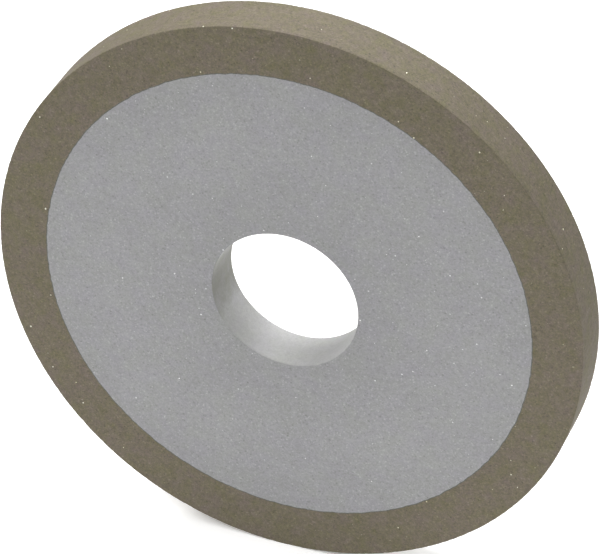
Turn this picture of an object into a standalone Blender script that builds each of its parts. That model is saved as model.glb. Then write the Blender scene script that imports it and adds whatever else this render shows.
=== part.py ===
"""Straight diamond grinding wheel: a moulded hub, a diamond rim and the cement between them.

Units are metres. The wheel's centre is the origin, it spins about +Y, and its front face looks
along -Y. Each piece is a closed outline turned once round the spindle axis.
"""

import math

import bpy

# Driving dimensions of the finished wheel.
WHEEL_DIAMETER = 0.0762
WHEEL_WIDTH = 0.00635
BORE_DIAMETER = 0.01905
RIM_DEPTH = 0.00635  # radial depth of the diamond section

# The joint: a shallow key groove runs round the hub, and the rim's key sits in it.
CEMENT_THICKNESS = 0.0003
FIT_GAP = 0.0003  # left between neighbouring pieces
KEY_DEPTH = 0.0005
KEY_MOUTH_WIDTH = 0.0032
KEY_FLOOR_WIDTH = 0.0016

EDGE_BREAK = 0.00015  # 45 degree chamfer on the bore's and the rim's sharp edges
TURN_STEPS = 96  # sides of each round
MERGE_DISTANCE = 0.00001
SHARP_ANGLE = math.radians(30)

# Radii and heights that follow from them.
HALF_WIDTH = WHEEL_WIDTH / 2
WHEEL_RADIUS = WHEEL_DIAMETER / 2
BORE_RADIUS = BORE_DIAMETER / 2
JOINT_RADIUS = WHEEL_RADIUS - RIM_DEPTH  # the middle of the cement line
CEMENT_INNER_RADIUS = JOINT_RADIUS - CEMENT_THICKNESS / 2
CEMENT_OUTER_RADIUS = JOINT_RADIUS + CEMENT_THICKNESS / 2
HUB_RADIUS = CEMENT_INNER_RADIUS - FIT_GAP
RIM_INNER_RADIUS = CEMENT_OUTER_RADIUS + FIT_GAP


def clear_scene():
    for obj in list(bpy.data.objects):
        bpy.data.objects.remove(obj, do_unlink=True)


def make_material(name, colour, roughness, metallic=0.0):
    material = bpy.data.materials.new(name)
    material.use_nodes = True
    shader = material.node_tree.nodes["Principled BSDF"]
    shader.inputs["Base Color"].default_value = (*colour, 1.0)
    shader.inputs["Roughness"].default_value = roughness
    shader.inputs["Metallic"].default_value = metallic
    return material


def keyed_side(radius):
    """A keyed cylinder's side, from its top edge down: straight, into the key groove, out again."""
    floor_radius = radius - KEY_DEPTH
    return [
        (radius, HALF_WIDTH),
        (radius, KEY_MOUTH_WIDTH / 2),
        (floor_radius, KEY_FLOOR_WIDTH / 2),
        (floor_radius, -KEY_FLOOR_WIDTH / 2),
        (radius, -KEY_MOUTH_WIDTH / 2),
        (radius, -HALF_WIDTH),
    ]


def broken_side(radius, towards_material):
    """A plain cylinder's side, from its top edge down, with a chamfer at both ends."""
    chamfered_radius = radius + towards_material * EDGE_BREAK
    return [
        (chamfered_radius, HALF_WIDTH),
        (radius, HALF_WIDTH - EDGE_BREAK),
        (radius, -HALF_WIDTH + EDGE_BREAK),
        (chamfered_radius, -HALF_WIDTH),
    ]


def turn(name, outer_side, inner_side, material, axis_empty, collection):
    """A ring whose section lies between two sides, turned round its local Z axis.

    The outline runs down the outer side and back up the inner one, so its faces point outwards.
    """
    outline = outer_side + inner_side[::-1]
    corners = [(radius, 0.0, height) for radius, height in outline]
    edges = [(i, (i + 1) % len(corners)) for i in range(len(corners))]
    section = bpy.data.meshes.new(name + "_section")
    section.from_pydata(corners, edges, [])
    section.materials.append(material)
    obj = bpy.data.objects.new(name, section)
    collection.objects.link(obj)
    screw = obj.modifiers.new("turn", "SCREW")
    screw.axis = "Z"
    screw.angle = math.tau
    screw.steps = TURN_STEPS
    screw.render_steps = TURN_STEPS
    screw.use_merge_vertices = True
    screw.merge_threshold = MERGE_DISTANCE

    # The turned ring becomes the object's own mesh, so that its edges can be marked sharp.
    graph = bpy.context.evaluated_depsgraph_get()
    ring = bpy.data.meshes.new_from_object(obj.evaluated_get(graph))
    ring.name = name
    ring.shade_smooth()
    ring.set_sharp_from_angle(angle=SHARP_ANGLE)
    obj.modifiers.clear()
    obj.data = ring
    bpy.data.meshes.remove(section)
    obj.parent = axis_empty
    return obj


def spindle_axis(collection):
    """The empty that lays the turned pieces' local +Z along -Y, towards the front."""
    empty = bpy.data.objects.new("spindle_axis", None)
    empty.rotation_euler = (math.radians(90), 0.0, 0.0)
    empty.empty_display_size = WHEEL_RADIUS
    collection.objects.link(empty)
    return empty


def hub(axis, collection):
    """The moulded, aluminium-filled resin disc that carries the rim, with the spindle bore."""
    material = make_material("hub_filled_resin", (0.335, 0.337, 0.342), 0.55, 0.25)
    bore = broken_side(BORE_RADIUS, towards_material=1)
    turn("hub", keyed_side(HUB_RADIUS), bore, material, axis, collection)


def cement_layer(axis, collection):
    """The thin film of resin cement that follows the key groove round the hub."""
    material = make_material("resin_cement", (0.085, 0.090, 0.070), 0.6)
    outer = keyed_side(CEMENT_OUTER_RADIUS)
    inner = keyed_side(CEMENT_INNER_RADIUS)
    turn("cement_layer", outer, inner, material, axis, collection)


def diamond_rim(axis, collection):
    """The working ring of diamond grit in a resin bond, keyed over the hub."""
    material = make_material("diamond_resin_bond", (0.178, 0.156, 0.115), 0.8)
    tread = broken_side(WHEEL_RADIUS, towards_material=-1)
    turn("diamond_rim", tread, keyed_side(RIM_INNER_RADIUS), material, axis, collection)


clear_scene()
wheel = bpy.data.collections.new("diamond_grinding_wheel")
bpy.context.scene.collection.children.link(wheel)
wheel_axis = spindle_axis(wheel)
hub(wheel_axis, wheel)
cement_layer(wheel_axis, wheel)
diamond_rim(wheel_axis, wheel)
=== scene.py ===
"""Looks of a straight diamond grinding wheel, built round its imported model.

Lengths are in metres. The wheel's centre is the origin, it spins about +Y, its front face looks
along -Y, and it stands on its rim with +Z up.
"""

import math

import bpy
from mathutils import Matrix, Vector


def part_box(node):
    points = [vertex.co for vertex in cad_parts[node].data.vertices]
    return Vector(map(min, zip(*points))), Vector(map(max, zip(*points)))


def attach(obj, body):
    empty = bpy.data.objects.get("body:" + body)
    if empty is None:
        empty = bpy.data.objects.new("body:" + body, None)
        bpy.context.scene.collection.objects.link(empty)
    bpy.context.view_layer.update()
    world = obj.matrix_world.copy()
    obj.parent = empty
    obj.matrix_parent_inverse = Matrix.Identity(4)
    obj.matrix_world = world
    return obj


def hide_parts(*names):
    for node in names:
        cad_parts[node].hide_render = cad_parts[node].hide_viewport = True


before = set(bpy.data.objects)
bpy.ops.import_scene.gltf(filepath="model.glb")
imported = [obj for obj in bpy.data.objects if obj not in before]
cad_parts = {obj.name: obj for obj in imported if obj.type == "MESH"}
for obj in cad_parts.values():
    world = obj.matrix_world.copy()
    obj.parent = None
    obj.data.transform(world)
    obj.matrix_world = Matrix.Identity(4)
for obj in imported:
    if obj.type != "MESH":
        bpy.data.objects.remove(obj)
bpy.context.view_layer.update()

# ---------------------------------------------------------------------------------------------
# Hub
# The grey disc that carries the rim. It is pressed from moulding resin filled with aluminium
# powder, faced flat on both sides and reamed to the spindle's size. A shallow groove round its
# outside keys it to the rim.

wheel_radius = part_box("diamond_rim")[1].x
half_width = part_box("diamond_rim")[1].y
hub_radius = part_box("hub")[1].x
bore_radius = min(math.hypot(v.co.x, v.co.z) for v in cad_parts["hub"].data.vertices)
rim_inner_radius = min(
    math.hypot(v.co.x, v.co.z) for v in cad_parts["diamond_rim"].data.vertices
    if abs(v.co.y) > half_width - 0.00001
)
joint_radius = (hub_radius + rim_inner_radius) / 2

hub_sides = 720
edge_rounding = 0.0001
corner_steps = 4  # facets across a rounded corner
sharp_angle = math.radians(35)
support = 0.00035  # from a rounded corner to the edges that hold it on both sides
cement_line = 0.00012  # the visible width of the cement between hub and rim
key_depth = 0.0005
key_mouth = 0.0016  # half widths of the key groove
key_floor = 0.0008
joint_wander = 0.00034  # from the joint line's innermost to its outermost place, at the most
wander_angle = 0.03125  # radians round the joint from one bend of its line to the next
path_radius = 0.001  # of the circle that a ring's section is swept along


def add(tree, kind, inputs=(), **settings):
    """A node. Settings are its own properties; each input takes a value or another's output."""
    node = tree.nodes.new(kind)
    for name, value in settings.items():
        setattr(node, name, value)
    for key, value in dict(inputs).items():
        socket = node.inputs[key]
        if isinstance(value, bpy.types.NodeSocket):
            tree.links.new(value, socket)
        else:
            socket.default_value = value
    return node


def math_node(tree, operation, *values):
    """A sum or comparison of numbers."""
    return add(tree, "ShaderNodeMath", enumerate(values), operation=operation).outputs[0]


def scaled(tree, vector, factor):
    """A vector or colour times a number."""
    return add(tree, "ShaderNodeVectorMath", {0: vector, "Scale": factor},
               operation="SCALE").outputs[0]


def multiplied(tree, vector, factors):
    """A vector times another, axis by axis."""
    return add(tree, "ShaderNodeVectorMath", {0: vector, 1: factors},
               operation="MULTIPLY").outputs[0]


def new_geometry_tree(name, inputs):
    """A Geometry Nodes tree with a geometry in and out, and a named socket for each input."""
    tree = bpy.data.node_groups.new(name, "GeometryNodeTree")
    tree.interface.new_socket("Geometry", in_out="INPUT", socket_type="NodeSocketGeometry")
    for socket_name, kind in inputs.items():
        tree.interface.new_socket(socket_name, in_out="INPUT", socket_type="NodeSocket" + kind)
    tree.interface.new_socket("Geometry", in_out="OUTPUT", socket_type="NodeSocketGeometry")
    return tree, add(tree, "NodeGroupInput").outputs


def finish_tree(tree, geometry, material):
    """Ends a tree: instances made real, material set."""
    realized = add(tree, "GeometryNodeRealizeInstances", {"Geometry": geometry})
    coated = add(
        tree, "GeometryNodeSetMaterial", {"Geometry": realized.outputs[0], "Material": material}
    )
    add(tree, "NodeGroupOutput", {"Geometry": coated.outputs[0]})


def grown(name, host_mesh, tree, values):
    """The plain mesh object that a tree makes from a host mesh, with its inputs set by socket."""
    host = bpy.data.objects.new(name + "_host", host_mesh)
    bpy.context.scene.collection.objects.link(host)
    modifier = host.modifiers.new(name, "NODES")
    modifier.node_group = tree
    for item in tree.interface.items_tree:
        if item.in_out == "INPUT" and item.name in values:
            modifier[item.identifier] = values[item.name]
    graph = bpy.context.evaluated_depsgraph_get()
    mesh = bpy.data.meshes.new_from_object(host.evaluated_get(graph))
    bpy.data.objects.remove(host)
    mesh.name = name
    piece = bpy.data.objects.new(name, mesh)
    bpy.context.scene.collection.objects.link(piece)
    return piece


def turned_ring_tree():
    """Turns a closed section round the Y axis, wanders its joint side and nicks its edges.

    The section lies in the XY plane, X outwards from the path circle and Y along the spindle.
    Its points carry the corner rounding, and say how far they belong to the joint or to an edge.
    """
    tree, given = new_geometry_tree("turned_ring", {
        "Sides": "Int",
        "Corner Steps": "Int",
        "Path Radius": "Float",
        "Joint Wander": "Float",
        "Wander Angle": "Float",
        "Nick Depth": "Float",
        "Nick Size": "Float",
        "Material": "Material",
    })

    def attribute(name):
        """What each point says of itself, under this name."""
        return add(
            tree, "GeometryNodeInputNamedAttribute", {"Name": name}, data_type="FLOAT"
        ).outputs["Attribute"]

    section = add(tree, "GeometryNodeMeshToCurve", {"Mesh": given["Geometry"]})
    rounded = add(
        tree, "GeometryNodeFilletCurve",
        {
            "Curve": section.outputs[0],
            "Count": given["Corner Steps"],
            "Radius": attribute("rounding"),
        },
        mode="POLY",
    )
    path = add(
        tree, "GeometryNodeCurvePrimitiveCircle",
        {"Resolution": given["Sides"], "Radius": given["Path Radius"]}, mode="RADIUS",
    )
    swept = add(
        tree, "GeometryNodeCurveToMesh",
        {"Curve": path.outputs[0], "Profile Curve": rounded.outputs[0]},
    )
    upright = add(
        tree, "GeometryNodeTransform",
        {"Geometry": swept.outputs[0], "Rotation": (math.radians(90), 0, 0)},
    )

    # The joint follows a slightly uneven line, the same for each piece that meets there.
    place = add(tree, "GeometryNodeInputPosition").outputs[0]
    outward = add(tree, "ShaderNodeVectorMath", {0: multiplied(tree, place, (1, 0, 1))},
                  operation="NORMALIZE").outputs[0]
    uneven = add(tree, "ShaderNodeTexNoise", {
        "Vector": outward,
        "Scale": math_node(tree, "DIVIDE", 1.0, given["Wander Angle"]),
        "Detail": 2.0,
    })
    wander = math_node(
        tree, "MULTIPLY",
        math_node(tree, "SUBTRACT", uneven.outputs[0], 0.5),
        math_node(tree, "MULTIPLY", given["Joint Wander"], attribute("joint")),
    )
    wandered = add(tree, "GeometryNodeSetPosition",
                   {"Geometry": upright.outputs[0], "Offset": scaled(tree, outward, wander)})

    # The edges lose small crumbs: inward dents, from nothing at a middling noise to their full
    # depth where it is high.
    crumbs = add(tree, "ShaderNodeTexNoise", {
        "Vector": place,
        "Scale": math_node(tree, "DIVIDE", 1.0, given["Nick Size"]),
        "Detail": 2.0,
    })
    depth = math_node(
        tree, "MULTIPLY",
        ranged(tree, crumbs.outputs[0], 0.5, 0.8),
        math_node(tree, "MULTIPLY", given["Nick Depth"], attribute("edge")),
    )
    facing = add(tree, "GeometryNodeInputNormal").outputs[0]
    inwards = scaled(tree, facing, math_node(tree, "MULTIPLY", depth, -1.0))
    nicked = add(
        tree, "GeometryNodeSetPosition", {"Geometry": wandered.outputs[0], "Offset": inwards}
    )
    finish_tree(tree, nicked.outputs[0], given["Material"])
    return tree


def edge_side(radius, way):
    """A plain cylinder's side with rounded ends, from front to back.

    Way is 1 where the piece lies outside this radius, as round a bore, and -1 where it lies inside.
    """
    near = radius + way * support
    ends = []
    for end in (-1, 1):
        face = (near, end * half_width)
        corner = (radius, end * half_width)
        wall = (radius, end * (half_width - support))
        points = [(*face, 0, 0, 0), (*corner, edge_rounding, 0, 1), (*wall, 0, 0, 0)]
        ends.append(points[::-end])
    return ends[0] + ends[1]


def joint_side(radius):
    """A keyed cylinder's side, from front to back, with the key groove in the middle."""
    floor_radius = radius - key_depth
    outline = [
        (radius, -half_width), (radius, -key_mouth), (floor_radius, -key_floor),
        (floor_radius, key_floor), (radius, key_mouth), (radius, half_width),
    ]
    return [(*point, 0, 1, 0) for point in outline]


def turned(name, outer, inner, sides, material, nick_depth=0.0, nick_size=0.001):
    """A ring between two sides, each given from front to back.

    A side's point is its radius, its place along the spindle, its corner rounding, and how far it
    belongs to the joint and to an edge.
    """
    points = outer + inner[::-1]
    section = bpy.data.meshes.new(name + "_section")
    section.from_pydata(
        [(point[0] - path_radius, point[1], 0) for point in points],
        [(i, (i + 1) % len(points)) for i in range(len(points))],
        [],
    )
    for column, attribute in ((2, "rounding"), (3, "joint"), (4, "edge")):
        layer = section.attributes.new(attribute, "FLOAT", "POINT")
        layer.data.foreach_set("value", [point[column] for point in points])
    piece = grown(name, section, turned_ring, {
        "Sides": sides,
        "Corner Steps": corner_steps,
        "Path Radius": path_radius,
        "Joint Wander": joint_wander,
        "Wander Angle": wander_angle,
        "Nick Depth": nick_depth,
        "Nick Size": nick_size,
        "Material": material,
    })
    for attribute in ("rounding", "joint", "edge"):
        piece.data.attributes.remove(piece.data.attributes[attribute])
    piece.data.shade_smooth()
    piece.data.set_sharp_from_angle(angle=sharp_angle)
    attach(piece, "root")
    return piece


def new_material(name):
    """A node material, its tree, its shader, and the object's own coordinates."""
    material = bpy.data.materials.new(name)
    material.use_nodes = True
    tree = material.node_tree
    shader = tree.nodes["Principled BSDF"]
    return material, tree, shader, add(tree, "ShaderNodeTexCoord").outputs["Object"]


def noise(tree, place, size, detail=2.0, roughness=0.5):
    """Noise whose blobs are about this size, 0 to 1."""
    return add(tree, "ShaderNodeTexNoise", {
        "Vector": place, "Scale": 1 / size, "Detail": detail, "Roughness": roughness,
    }).outputs[0]


def ranged(tree, value, low, high, to_low=0.0, to_high=1.0):
    """A value between low and high, carried over to another range and held at its ends."""
    return add(tree, "ShaderNodeMapRange", {
        "Value": value, "From Min": low, "From Max": high, "To Min": to_low, "To Max": to_high,
    }).outputs[0]


def mixed(tree, factor, first, second, blend="MIX"):
    """A colour mix."""
    return add(tree, "ShaderNodeMix", {0: factor, 6: first, 7: second},
               data_type="RGBA", blend_type=blend).outputs[2]


def tinted(tree, colour, tint):
    """A colour multiplied by another."""
    return mixed(tree, 1.0, colour, tint, "MULTIPLY")


def channel(tree, colour, index):
    """One of a colour's three numbers."""
    return add(tree, "ShaderNodeSeparateColor", {0: colour}).outputs[index]


def axis_distance(tree, place):
    """Distance from the spindle axis, as a number."""
    return add(tree, "ShaderNodeVectorMath", {0: multiplied(tree, place, (1, 0, 1))},
               operation="LENGTH").outputs["Value"]


def grains(tree, place, size):
    """Grains of about this size, as outputs: a random Color for each, and Distance from its middle."""
    return add(tree, "ShaderNodeTexVoronoi", {"Vector": place, "Scale": 1 / size}).outputs


def spots(tree, place, spacing, rarity):
    """Round spots 0 to 1, one to a grain of this spacing. The rarer, the fewer are strong."""
    cells = grains(tree, place, spacing)
    strength = math_node(tree, "POWER", channel(tree, cells["Color"], 1), rarity)
    return math_node(tree, "MULTIPLY", ranged(tree, cells["Distance"], 0.0, 0.5, 1.0, 0.0), strength)


def tone(tree, parts):
    """A lightness of 1, moved by each pattern's share as it rises or falls from its middle value."""
    total = 1.0
    for pattern, middle, share in parts:
        offset = math_node(tree, "SUBTRACT", pattern, middle)
        total = math_node(tree, "ADD", total, math_node(tree, "MULTIPLY", offset, share))
    return total


def cut_lines(tree, place, cells_per_metre):
    """The fine lines that a tool leaves round the spindle axis, 0 to 1."""
    stretched = multiplied(tree, place, cells_per_metre)
    return add(tree, "ShaderNodeTexNoise", {"Vector": stretched, "Scale": 1.0}).outputs[0]


def grainy_surface(tree, place):
    """What both pressed mixes share: an uneven grain, dark spots of painted shade in small pits, and
    pale specks of powder.
    """
    coarse = noise(tree, place, size=0.0006, detail=3.0, roughness=1.0)
    # Dark spots: painted shade in small pits.
    pit_shade = spots(tree, place, spacing=0.00036, rarity=3.0)
    powder = spots(tree, place, spacing=0.00032, rarity=3.5)
    return coarse, pit_shade, powder


def filled_resin():
    """Grey resin full of aluminium powder: fine grain, faint clouds, a paler reamed bore, partly
    painted sheen.

    It is a little lighter midway out than at the bore and the joint.
    """
    cool_grey = (0.312, 0.3085, 0.3215, 1)
    warm_grey = (0.310, 0.3130, 0.3065, 1)
    radial_lightness = ((0.25, 0.93), (0.62, 1.0), (0.83, 0.965))  # share of the wheel's radius, lightness
    # The bore is paler than the faces: partly its cut surface, partly a painted sheen.
    pale_cut_and_sheen = (1.33, 1.33, 1.30, 1)
    # The next four paint shade on the bore's left wall: darker and olive, fading in along -X.
    olive_painted_shade = (0.63, 0.63, 0.565, 1)
    shade_starts = -0.80 * bore_radius  # along X
    shade_full = -0.93 * bore_radius
    shade_fray = 0.0012  # how far its border strays
    ream_lines = (60, 9000, 60)  # long round the bore, and fine along it

    material, tree, shader, place = new_material("hub_filled_resin")
    radius = axis_distance(tree, place)
    reamed = ranged(tree, radius, bore_radius + edge_rounding / 5, bore_radius + edge_rounding,
                    to_low=1.0, to_high=0.0)
    speckle = channel(tree, grains(tree, place, size=0.00017)["Color"], 0)
    coarse, pit_shade, powder = grainy_surface(tree, place)
    cloud = noise(tree, place, size=0.006)
    speckled = tone(tree, (
        (speckle, 0.5, 0.16), (coarse, 0.5, 0.45), (cloud, 0.5, 0.14),
        (pit_shade, 0.0, -0.42), (powder, 0.0, 0.42),
    ))
    smeared = tone(tree, ((speckle, 0.5, 0.1), (coarse, 0.5, 0.4), (cloud, 0.5, 0.2)))
    lightness = add(tree, "ShaderNodeMix", {0: reamed, 2: speckled, 3: smeared}).outputs[0]
    # Lighter midway out than at the bore and the joint.
    radial_ramp = add(tree, "ShaderNodeValToRGB",
                  {0: math_node(tree, "DIVIDE", radius, wheel_radius)})
    stops = radial_ramp.color_ramp.elements
    stops.new(0.5)  # a third, between the two that a ramp starts with
    for stop, (share, grey) in zip(stops, radial_lightness):
        stop.position = share
        stop.color = (grey, grey, grey, 1)
    warmth = noise(tree, place, size=0.0025, detail=3.0, roughness=0.7)
    faced = mixed(tree, ranged(tree, warmth, 0.35, 0.65), warm_grey, cool_grey)
    faced = tinted(tree, scaled(tree, faced, lightness), radial_ramp.outputs[0])

    # Painted shade darkens the bore's left wall, towards -X, and tints it olive, with a frayed border.
    sideways = add(tree, "ShaderNodeSeparateXYZ", {0: place}).outputs["X"]
    border = math_node(tree, "ADD", sideways, math_node(tree, "MULTIPLY", warmth, shade_fray))
    dust_and_shade = ranged(tree, border, shade_full, shade_starts, to_low=1.0, to_high=0.0)
    # Paler in the bore: partly its cut surface, partly a painted sheen.
    bore = tinted(tree, faced, pale_cut_and_sheen)
    # Painted shade on the bore's left wall.
    bore = mixed(tree, dust_and_shade, bore, tinted(tree, bore, olive_painted_shade))
    tree.links.new(mixed(tree, reamed, faced, bore), shader.inputs["Base Color"])

    dry = ranged(tree, speckle, 0.0, 1.0, to_low=0.60, to_high=0.76)
    polish = math_node(tree, "MULTIPLY", reamed, 0.12)
    tree.links.new(math_node(tree, "SUBTRACT", dry, polish), shader.inputs["Roughness"])
    shader.inputs["Specular IOR Level"].default_value = 0.25
    height = mixed(tree, reamed, coarse, cut_lines(tree, place, ream_lines))
    relief = add(tree, "ShaderNodeBump",
                 {"Height": height, "Strength": 0.35, "Distance": 0.00003})
    tree.links.new(relief.outputs[0], shader.inputs["Normal"])
    return material


turned_ring = turned_ring_tree()
hub = turned(
    "hub_disc",
    outer=joint_side(joint_radius - cement_line / 2),
    inner=edge_side(bore_radius, way=1),
    sides=hub_sides, material=filled_resin(), nick_depth=0.00002, nick_size=0.0004,
)
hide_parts("hub")

# ---------------------------------------------------------------------------------------------
# Aluminium flecks
# The coarsest flakes of the hub's aluminium filler. Grinding the faces flat cuts them open, so
# they lie in the surface like small mirrors, each tilted its own way.


def scattered_grit_tree():
    """Sets small flat grains into a piece's faces and outer wall, each with its size and tilt.

    A wall inside the bare radius is the joint's or the bore's, and gets none.
    """
    tree, given = new_geometry_tree("scattered_grit", {
        "Per Square Metre": "Float",
        "Smallest": "Float",
        "Largest": "Float",
        "Flatness": "Float",
        "Tilt": "Float",
        "Bare Radius": "Float",
        "Seed": "Int",
        "Material": "Material",
    })
    place = add(tree, "GeometryNodeInputPosition").outputs[0]
    facing = add(tree, "GeometryNodeInputNormal").outputs[0]
    along_spindle = add(tree, "ShaderNodeSeparateXYZ", {0: facing}).outputs["Y"]
    on_face = math_node(tree, "GREATER_THAN", math_node(tree, "ABSOLUTE", along_spindle), 0.95)
    outside = math_node(
        tree, "GREATER_THAN", axis_distance(tree, place), given["Bare Radius"]
    )
    points = add(tree, "GeometryNodeDistributePointsOnFaces", {
        "Mesh": given["Geometry"],
        "Selection": math_node(tree, "MAXIMUM", on_face, outside),
        "Density": given["Per Square Metre"],
        "Seed": given["Seed"],
    })

    def chance(low, high, salt, kind="FLOAT"):
        """An even random value for each grain. Each use has its own salt."""
        node = add(tree, "FunctionNodeRandomValue", {"Seed": salt}, data_type=kind)
        lowest, highest = [socket for socket in node.inputs if socket.enabled][:2]
        lowest.default_value = low
        highest.default_value = high
        return next(socket for socket in node.outputs if socket.enabled)

    # Most grains are small: the cube of an even chance sets the size.
    rare = math_node(tree, "POWER", chance(0.0, 1.0, 1), 3.0)
    size = ranged(tree, rare, 0.0, 1.0, given["Smallest"], given["Largest"])
    flat = add(tree, "ShaderNodeCombineXYZ", {
        0: size, 1: size, 2: math_node(tree, "MULTIPLY", size, given["Flatness"]),
    }).outputs[0]
    lean = scaled(tree, chance((-1, -1, 0), (1, 1, 0), 2, "FLOAT_VECTOR"), given["Tilt"])
    spin = chance((0, 0, 0), (0, 0, math.tau), 3, "FLOAT_VECTOR")
    leaning = add(tree, "FunctionNodeRotateRotation", {
        "Rotation": points.outputs["Rotation"], "Rotate By": lean,
    }, rotation_space="LOCAL")
    turned_round = add(tree, "FunctionNodeRotateRotation", {
        "Rotation": leaning.outputs[0], "Rotate By": spin,
    }, rotation_space="LOCAL")
    grain = add(tree, "GeometryNodeMeshIcoSphere", {"Radius": 1.0, "Subdivisions": 1})
    grit = add(tree, "GeometryNodeInstanceOnPoints", {
        "Points": points.outputs["Points"],
        "Instance": grain.outputs["Mesh"],
        "Rotation": turned_round.outputs[0],
        "Scale": flat,
    })
    finish_tree(tree, grit.outputs[0], given["Material"])
    return tree


def grit_on(name, host, per_square_mm, smallest, largest, flatness, tilt, seed, bare, material):
    """Grit set into a finished piece. Sizes are grain radii, and tilt is in degrees.

    Walls within the bare radius get none.
    """
    piece = grown(name, host.data, scattered_grit, {
        "Per Square Metre": per_square_mm * 1e6,
        "Smallest": smallest,
        "Largest": largest,
        "Flatness": flatness,
        "Tilt": math.radians(tilt),
        "Bare Radius": bare,
        "Seed": seed,
        "Material": material,
    })
    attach(piece, "root")
    return piece


def cut_aluminium():
    """Bright cut aluminium, a little duller from one flake to the next."""
    bright = (0.88, 0.88, 0.89, 1)
    dull = (0.62, 0.63, 0.65, 1)
    material, tree, shader, place = new_material("cut_aluminium")
    dulling = noise(tree, place, size=0.001)
    tree.links.new(mixed(tree, ranged(tree, dulling, 0.3, 0.7), bright, dull),
                   shader.inputs["Base Color"])
    roughness = ranged(tree, dulling, 0.3, 0.7, to_low=0.35, to_high=0.55)
    tree.links.new(roughness, shader.inputs["Roughness"])
    shader.inputs["Metallic"].default_value = 1.0
    return material


scattered_grit = scattered_grit_tree()
flecks = grit_on(
    "aluminium_flecks", hub, per_square_mm=0.07, smallest=0.00004, largest=0.00012,
    flatness=0.45, tilt=22, seed=4, bare=wheel_radius, material=cut_aluminium(),
)

# ---------------------------------------------------------------------------------------------
# Cement layer
# The film of dark resin cement that holds the rim on the hub. It fills the key groove, and only
# its edge shows, as a thin line round each face.


def dark_cement():
    """Dark resin with a little of the grinding dust of both neighbours in it."""
    clean = (0.078, 0.082, 0.070, 1)
    dust_and_shade = (0.130, 0.130, 0.114, 1)
    material, tree, shader, place = new_material("resin_cement")
    dust = noise(tree, place, size=0.00025, detail=3.0)
    tree.links.new(mixed(tree, ranged(tree, dust, 0.35, 0.65), clean, dust_and_shade),
                   shader.inputs["Base Color"])
    roughness = ranged(tree, dust, 0.3, 0.7, to_low=0.55, to_high=0.75)
    tree.links.new(roughness, shader.inputs["Roughness"])
    relief = add(tree, "ShaderNodeBump", {"Height": dust, "Strength": 0.3, "Distance": 0.00002})
    tree.links.new(relief.outputs[0], shader.inputs["Normal"])
    return material


cement = turned(
    "cement_film",
    outer=joint_side(joint_radius + cement_line / 2),
    inner=joint_side(joint_radius - cement_line / 2),
    sides=hub_sides, material=dark_cement(),
)
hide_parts("cement_layer")

# ---------------------------------------------------------------------------------------------
# Diamond rim
# The working ring: diamond grit in an olive-brown resin bond, hot pressed and cemented on the
# hub. It is trued square, so its edges are sharp, with only crumbs missing from them.

rim_sides = 1080


def diamond_bond():
    """Olive-brown bond with a dry grain that drifts in tint, and dressing lines on the tread."""
    olive = (0.147, 0.1355, 0.0785, 1)
    brown = (0.1665, 0.137, 0.116, 1)
    no_lines = (0.5, 0.5, 0.5, 1)
    dressing_lines = (70, 7000, 70)  # long round the tread, and fine across it
    line_strength = 0.12
    tread_starts = wheel_radius - 0.00015
    tread_full = wheel_radius - 0.00005

    material, tree, shader, place = new_material("diamond_resin_bond")
    speckle = channel(tree, grains(tree, place, size=0.00016)["Color"], 0)
    coarse, pit_shade, powder = grainy_surface(tree, place)
    cloud = noise(tree, place, size=0.005)
    tread = ranged(tree, axis_distance(tree, place), tread_starts, tread_full,
                   to_low=0.0, to_high=line_strength)
    lines = cut_lines(tree, place, dressing_lines)
    dressed = channel(tree, mixed(tree, tread, no_lines, lines), 0)
    lightness = tone(tree, (
        (speckle, 0.5, 0.30), (coarse, 0.5, 0.66), (cloud, 0.5, 0.08),
        (dressed, 0.5, 2.0), (pit_shade, 0.0, -0.46), (powder, 0.0, 0.54),
    ))
    tint = noise(tree, place, size=0.002, detail=4.0, roughness=0.8)
    bond = mixed(tree, ranged(tree, tint, 0.3, 0.7), olive, brown)
    tree.links.new(scaled(tree, bond, lightness), shader.inputs["Base Color"])
    roughness = ranged(tree, speckle, 0.0, 1.0, to_low=0.74, to_high=0.9)
    tree.links.new(roughness, shader.inputs["Roughness"])
    shader.inputs["Specular IOR Level"].default_value = 0.25
    height = math_node(tree, "ADD", coarse, dressed)
    relief = add(tree, "ShaderNodeBump", {"Height": height, "Strength": 0.5, "Distance": 0.00004})
    tree.links.new(relief.outputs[0], shader.inputs["Normal"])
    return material


rim = turned(
    "diamond_ring",
    outer=edge_side(wheel_radius, way=-1),
    inner=joint_side(joint_radius + cement_line / 2),
    sides=rim_sides, material=diamond_bond(), nick_depth=0.00006, nick_size=0.0006,
)
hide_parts("diamond_rim")

# ---------------------------------------------------------------------------------------------
# Diamond grit
# The largest of the diamond grains in the bond. Dressing has left them standing a little proud,
# and a few of their faces catch the light.


def diamond_grain():
    """Yellowish synthetic diamond, modelled as a pale glossy solid."""
    yellow = (0.66, 0.62, 0.36, 1)
    pale = (0.82, 0.80, 0.66, 1)
    material, tree, shader, place = new_material("diamond_grain")
    tint = noise(tree, place, size=0.0015)
    tree.links.new(mixed(tree, ranged(tree, tint, 0.3, 0.7), yellow, pale),
                   shader.inputs["Base Color"])
    roughness = ranged(tree, tint, 0.3, 0.7, to_low=0.08, to_high=0.2)
    tree.links.new(roughness, shader.inputs["Roughness"])
    shader.inputs["IOR"].default_value = 2.4
    return material


grit = grit_on(
    "diamond_grit", rim, per_square_mm=0.035, smallest=0.00003, largest=0.00014,
    flatness=0.6, tilt=30, seed=9, bare=(rim_inner_radius + wheel_radius) / 2,
    material=diamond_grain(),
)

# ---------------------------------------------------------------------------------------------
# Studio
# A plain pale floor under the wheel, round soft lights about it, and a white surround that
# lights the wheel only a little. The floor glows faintly, so that it is as pale as the rest.

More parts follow.
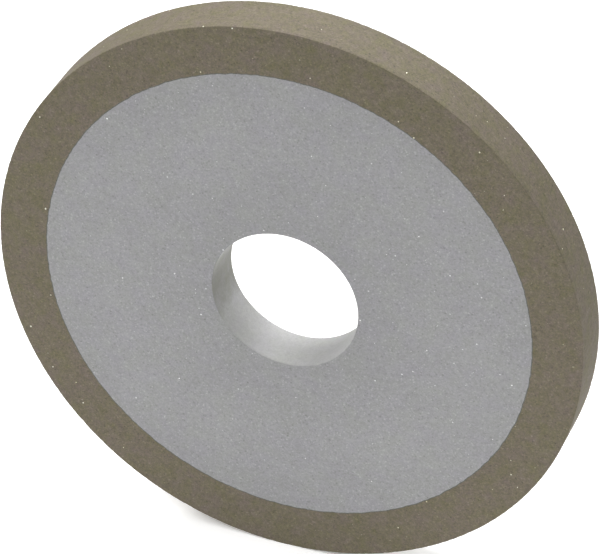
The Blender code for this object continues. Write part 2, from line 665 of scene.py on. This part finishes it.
floor_radius = 0.4
floor_sides = 64
floor_mesh = bpy.data.meshes.new("floor")
floor_mesh.from_pydata(
    [(floor_radius * math.cos(math.tau * i / floor_sides),
      floor_radius * math.sin(math.tau * i / floor_sides), -wheel_radius)
     for i in range(floor_sides)],
    [], [list(range(floor_sides))],
)
floor_material = bpy.data.materials.new("pale_floor")
floor_material.use_nodes = True
floor_finish = floor_material.node_tree.nodes["Principled BSDF"].inputs
floor_finish["Base Color"].default_value = (0.93, 0.93, 0.93, 1)
floor_finish["Roughness"].default_value = 0.9
floor_finish["Emission Color"].default_value = (1, 1, 1, 1)
floor_finish["Emission Strength"].default_value = 0.3
floor_mesh.materials.append(floor_material)
floor = bpy.data.objects.new("floor", floor_mesh)
bpy.context.scene.collection.objects.link(floor)


def view_direction(azimuth, elevation):
    """The unit vector from the wheel towards a viewer, in degrees: 0 is in front, 90 to the right."""
    turn = math.radians(azimuth)
    rise = math.radians(elevation)
    return Vector((
        math.sin(turn) * math.cos(rise), -math.cos(turn) * math.cos(rise), math.sin(rise)
    ))


def softbox(name, azimuth, elevation, distance, size, watts):
    """A round soft light that looks at the wheel."""
    towards = view_direction(azimuth, elevation)
    light = bpy.data.lights.new(name, "AREA")
    light.shape = "DISK"
    light.size = size
    light.energy = watts
    lamp = bpy.data.objects.new(name, light)
    lamp.location = towards * distance
    lamp.rotation_euler = towards.to_track_quat("Z", "Y").to_euler()
    lamp.visible_camera = False
    bpy.context.scene.collection.objects.link(lamp)


# Four lights stand well back. The last is a small one close above the tread.
softbox("back_softbox", azimuth=180, elevation=25, distance=1.2, size=0.5, watts=11.0)
softbox("front_softbox", azimuth=0, elevation=55, distance=1.2, size=0.7, watts=7.5)
softbox("left_softbox", azimuth=-90, elevation=50, distance=1.2, size=0.6, watts=9.4)
softbox("right_softbox", azimuth=110, elevation=50, distance=1.2, size=0.6, watts=4.7)
softbox("top_softbox", azimuth=180, elevation=80, distance=0.25, size=0.1, watts=0.145)

# The surround is white to the camera and dim to the wheel.
surround_glow = 0.05
surround_seen = 1.0
world = bpy.data.worlds.new("pale_surround")
world.use_nodes = True
surround = world.node_tree
background = surround.nodes["Background"]
seen = add(surround, "ShaderNodeLightPath").outputs["Is Camera Ray"]
surround.links.new(ranged(surround, seen, 0.0, 1.0, surround_glow, surround_seen),
                   background.inputs["Strength"])
background.inputs["Color"].default_value = (1, 1, 1, 1)
bpy.context.scene.world = world
bpy.context.scene.view_settings.view_transform = "Standard"

# ---------------------------------------------------------------------------------------------
# Camera
# A long lens, a little right of the wheel's axis and well above it, framing the wheel closely.

camera_azimuth = 21.22
camera_elevation = 35.0
focal_in_widths = 6.307  # focal length over the frame's width
distance = 12.105 * wheel_radius  # along the view, from the front face's centre
aim_right = 0.0494 * wheel_radius  # the view's axis passes this far beside and above that centre
aim_up = 0.0758 * wheel_radius

back = view_direction(camera_azimuth, camera_elevation)
right = Vector((math.cos(math.radians(camera_azimuth)), math.sin(math.radians(camera_azimuth)), 0))
up = back.cross(right)
front_centre = Vector((0, -half_width, 0))
eye = front_centre + right * aim_right + up * aim_up + back * distance

lens = bpy.data.cameras.new("camera")
lens.sensor_width = 36.0
lens.lens = focal_in_widths * lens.sensor_width
lens.clip_start = 0.01
lens.clip_end = 20.0
camera = bpy.data.objects.new("camera", lens)
camera.matrix_world = Matrix.Translation(eye) @ Matrix((right, up, back)).transposed().to_4x4()
bpy.context.scene.collection.objects.link(camera)
bpy.context.scene.camera = camera
